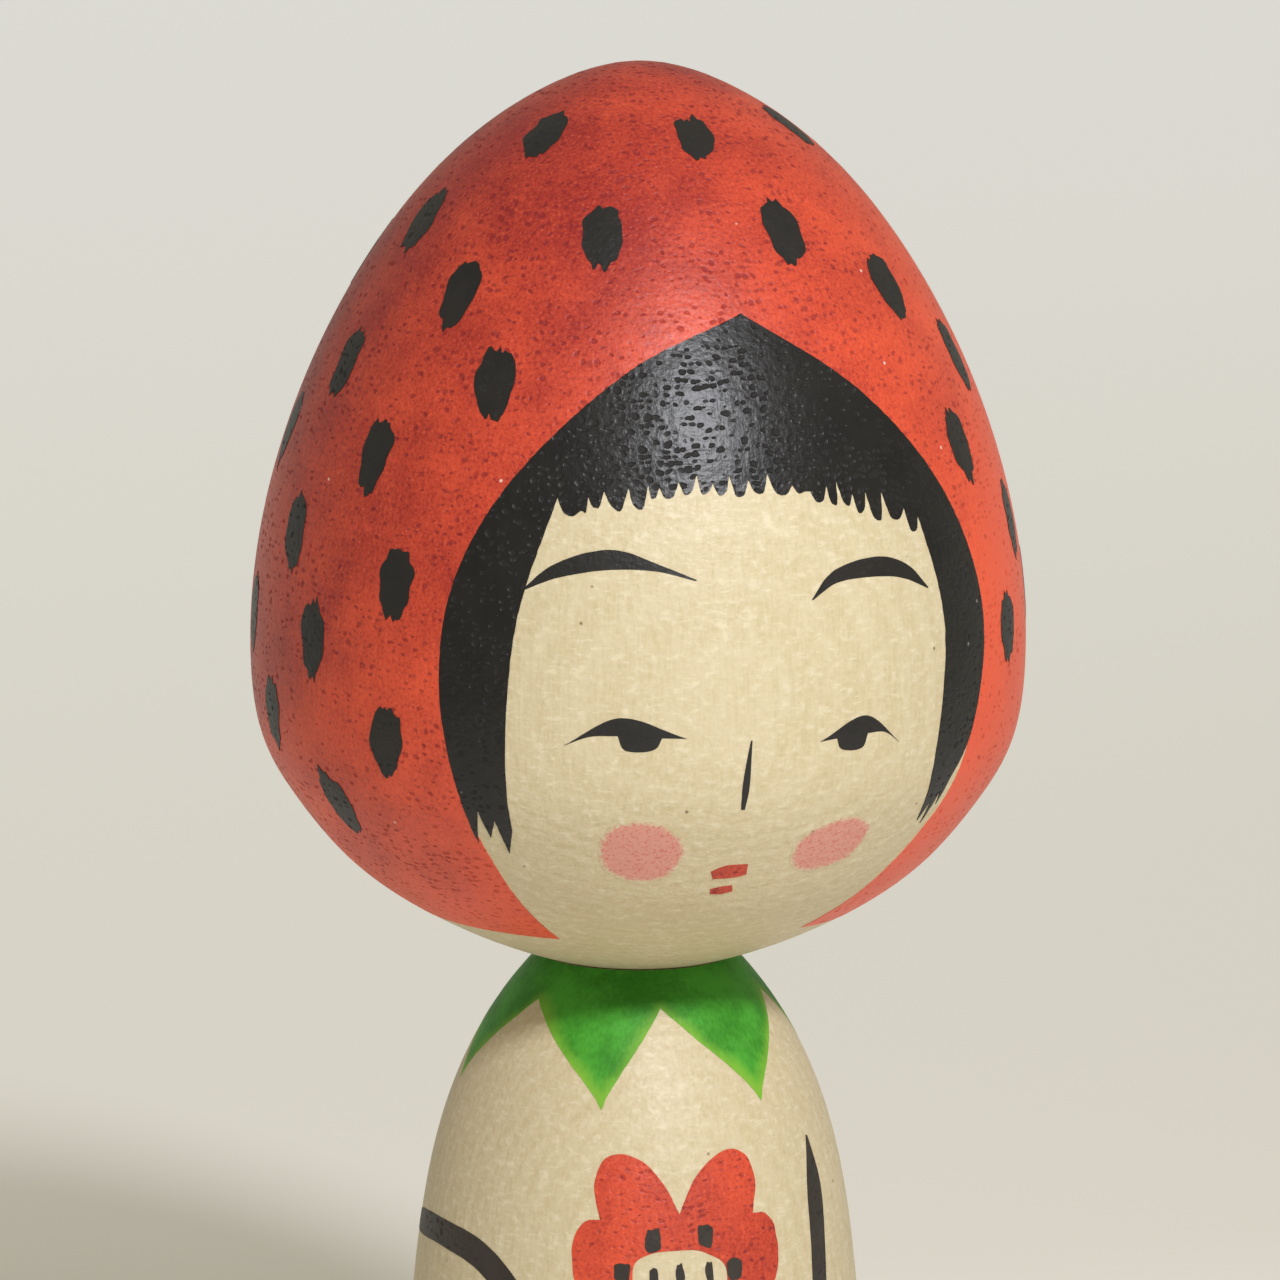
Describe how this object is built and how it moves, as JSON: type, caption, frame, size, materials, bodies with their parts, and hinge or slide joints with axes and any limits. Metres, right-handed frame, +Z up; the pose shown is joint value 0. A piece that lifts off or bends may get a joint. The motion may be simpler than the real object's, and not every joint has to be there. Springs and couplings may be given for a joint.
{
  "type": "kokeshi doll",
  "caption": "Small turned wooden kokeshi doll: egg-shaped head with painted hood, fringe and face, turning on a dowel in a slim body with a leaf collar and a blossom.",
  "frame": {"origin": "centre of the foot, on the plane that the doll stands on", "axes": "+Z up along the turned axis, the face looks towards -Y, +X is the doll's left hand side"},
  "size_m": [0.04, 0.04, 0.091],
  "materials": {
    "head_wood": "turned, sanded and lightly waxed pale wood",
    "body_wood": "turned, sanded and lightly waxed pale wood",
    "dowel_wood": "plain fluted hardwood dowel",
    "red_dye": "translucent red dye over wood, satin wax",
    "black_ink": "brushed black ink, satin",
    "green_dye": "brushed green dye with yellow-green edges",
    "pink_blush": "thin dry pink dab"
  },
  "bodies": {
    "body": {"body": "body_wood", "neck_dowel": "dowel_wood"},
    "head": {"head": "head_wood"}
  },
  "joints": [
    {"name": "head_turn", "type": "hinge", "parent": "body", "child": "head", "pos_m": [0, 0, 0.04476], "axis": [0, 0, 1], "continuous": true}
  ]
}
